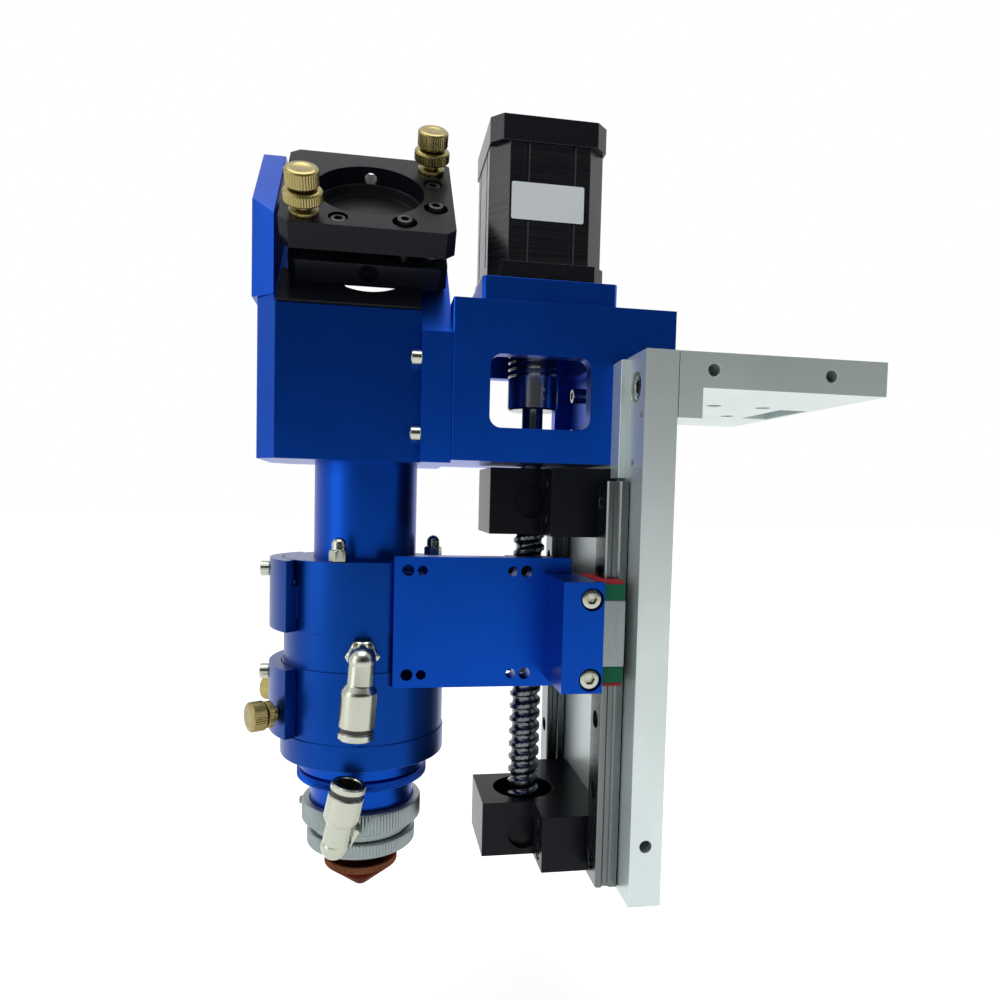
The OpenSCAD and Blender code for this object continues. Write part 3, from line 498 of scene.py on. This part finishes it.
def elbow_arm(b, mt, d, l):
    knee = [(4.5 * math.cos(u * math.pi / 24), d + 4.5 * math.sin(u * math.pi / 24)) for u in range(12)]
    b.lathe([(3.05, d - 5), (4.2, d - 5), (4.5, d - 4.7)] + knee + [(0, d + 4.5), (0, d + 0.8), (3.05, d + 0.8)], mt, 72, closed=True)
    arm = mt @ T(0, 0, d) @ R(90, 'X')
    b.lathe([(0, 1.2), (4.35, 1.2), (4.4, 7.4), (4.7, 8.0), (5.6, 9.3), (5.95, 10.0), (6.0, 10.8), (6.0, l - 4.4), (5.7, l - 4.0), (5.35, l - 3.9), (5.35, l - 3.8, 1), (5.3, l - 2.5, 1), (5.35, l - 2.4),
             (5.7, l - 2.3), (5.9, l - 2.0), (5.9, l - 0.5), (5.5, l), (4.3, l), (4.0, l - 0.3), (4.0, l - 12.5), (0, l - 13)], arm, 72)


P1, P2 = port(0, 79.5), port(-13, 16.5)
b = Build()
elbow_base(b, P1, 29.1, 34.6, 40, 4, 6)
elbow_base(b, P2, 22.1, 26.6, 36.6, 2.5, 2.9)
b.obj("elbow_bases_fine", "carriage", ["nickel"], ["elbow_bases"])
b = Build()
elbow_arm(b, P1 @ R(-4, 'Z'), 40, 25.6)
b.obj("upper_elbow_fine", "elbow_upper", ["nickel", "rubber"], ["upper_elbow"])
b = Build()
elbow_arm(b, P2 @ R(180 - 12.5, 'Z'), 36.6, 22)
b.obj("lower_elbow_fine", "elbow_lower", ["nickel", "rubber"], ["lower_elbow"])

# ------------------------------------------------------------------ blank motor label
bm = bmesh.new()
bmesh.ops.create_cube(bm, size=1.0)
bmesh.ops.scale(bm, vec=(26.1, 0.16, 12.8), verts=bm.verts)
vert = [e for e in bm.edges if abs(e.verts[0].co.y - e.verts[1].co.y) > 0.1]
bmesh.ops.bevel(bm, geom=vert, offset=0.7, segments=4, profile=0.5, affect='EDGES')
bm.transform(MS @ T(-25.65, -20.86, 237.8))
me = bpy.data.meshes.new("motor_label")
bm.to_mesh(me)
bm.free()
finish_mesh(me)
put(me, "motor_label", "frame", ["label"])

# ------------------------------------------------------------------ nodes that stay as they are
for node, mat in (("motor_shaft", "steel"), ("pivot_ball", "steel"), ("mirror_disc", "mirror"), ("window_glass", "glass"), ("focus_lens", "glass")):
    o = frame["nodes"][node]
    o.data.materials.clear()
    o.data.materials.append(M[mat])

# ------------------------------------------------------------------ stage, light and camera
FLOOR = -0.262
me = bpy.data.meshes.new("floor")
me.from_pydata([(-8, -8, FLOOR), (8, -8, FLOOR), (8, 8, FLOOR), (-8, 8, FLOOR)], [], [(0, 1, 2, 3)])
floor = bpy.data.objects.new("floor", me)
bpy.context.scene.collection.objects.link(floor)
pale = material("pale_floor", (0.90, 0.90, 0.90), 0.0, 0.7, grain=300, bump=0.02, var=0.01, spec=0.2)
pale.node_tree.nodes["Principled BSDF"].inputs["Emission Color"].default_value = (1, 1, 1, 1)
pale.node_tree.nodes["Principled BSDF"].inputs["Emission Strength"].default_value = 0.28
me.materials.append(pale)

w = bpy.data.worlds.new("studio")
bpy.context.scene.world = w
w.use_nodes = True
n, l = w.node_tree.nodes, w.node_tree.links
bg = n["Background"]
tc = n.new("ShaderNodeTexCoord")
sx = n.new("ShaderNodeSeparateXYZ")
l.new(tc.outputs["Generated"], sx.inputs[0])
mr = n.new("ShaderNodeMapRange")
mr.interpolation_type = 'SMOOTHSTEP'
mr.inputs["From Min"].default_value = -0.88
mr.inputs["From Max"].default_value = -0.25
mr.inputs["To Min"].default_value = 0.05
mr.inputs["To Max"].default_value = 1.0
side = n.new("ShaderNodeMath"); side.operation = 'MULTIPLY_ADD'
side.inputs[1].default_value = -0.3
l.new(sx.outputs["X"], side.inputs[0])
l.new(sx.outputs["Y"], side.inputs[2])
l.new(side.outputs[0], mr.inputs["Value"])
l.new(mr.outputs["Result"], bg.inputs["Color"])
bg.inputs["Strength"].default_value = 1.0


def area(name, loc, target, size, energy, color=(1, 1, 1)):
    d = bpy.data.lights.new(name, 'AREA')
    d.shape = 'RECTANGLE'
    d.size, d.size_y = size
    d.energy = energy
    d.color = color
    o = bpy.data.objects.new(name, d)
    bpy.context.scene.collection.objects.link(o)
    o.location = loc
    o.rotation_euler = (Vector(target) - Vector(loc)).to_track_quat('-Z', 'Y').to_euler()
    return o


area("top_box", (-0.15, -0.25, 0.95), (-0.08, 0, -0.05), (0.9, 0.7), 7)
area("left_box", (-1.0, -0.35, 0.15), (-0.1, 0, -0.08), (0.5, 0.9), 2)

def rot3(rx, ry, rz):
    return Matrix.Rotation(rz, 3, 'Z') @ Matrix.Rotation(rx, 3, 'X') @ Matrix.Rotation(ry, 3, 'Y')


cam = bpy.data.cameras.new("camera")
co = bpy.data.objects.new("camera", cam)
bpy.context.scene.collection.objects.link(co)
Bm = Matrix(((1, 0, 0), (0, 0, -1), (0, 1, 0)))
flip = Matrix(((1, 0, 0), (0, -1, 0), (0, 0, -1)))
q = (flip @ rot3(0.052122825, -0.167660558, 0.024604388) @ Bm).transposed()
co.matrix_world = T((-83.57896160949107 - 52) * MM, -287.6936754928668 * MM, (133.30770209265813 - 182) * MM) @ q.to_4x4()
cam.sensor_fit = 'HORIZONTAL'
cam.sensor_width = 36
cam.lens = 757.299397882881 / 1000 * 36
cam.shift_x = (500 - 503.98096857954295) / 1000
cam.shift_y = (538.1537060952837 - 500) / 1000
cam.clip_start = 0.01
cam.clip_end = 50
bpy.context.scene.camera = co
bpy.context.scene.view_settings.view_transform = 'Standard'
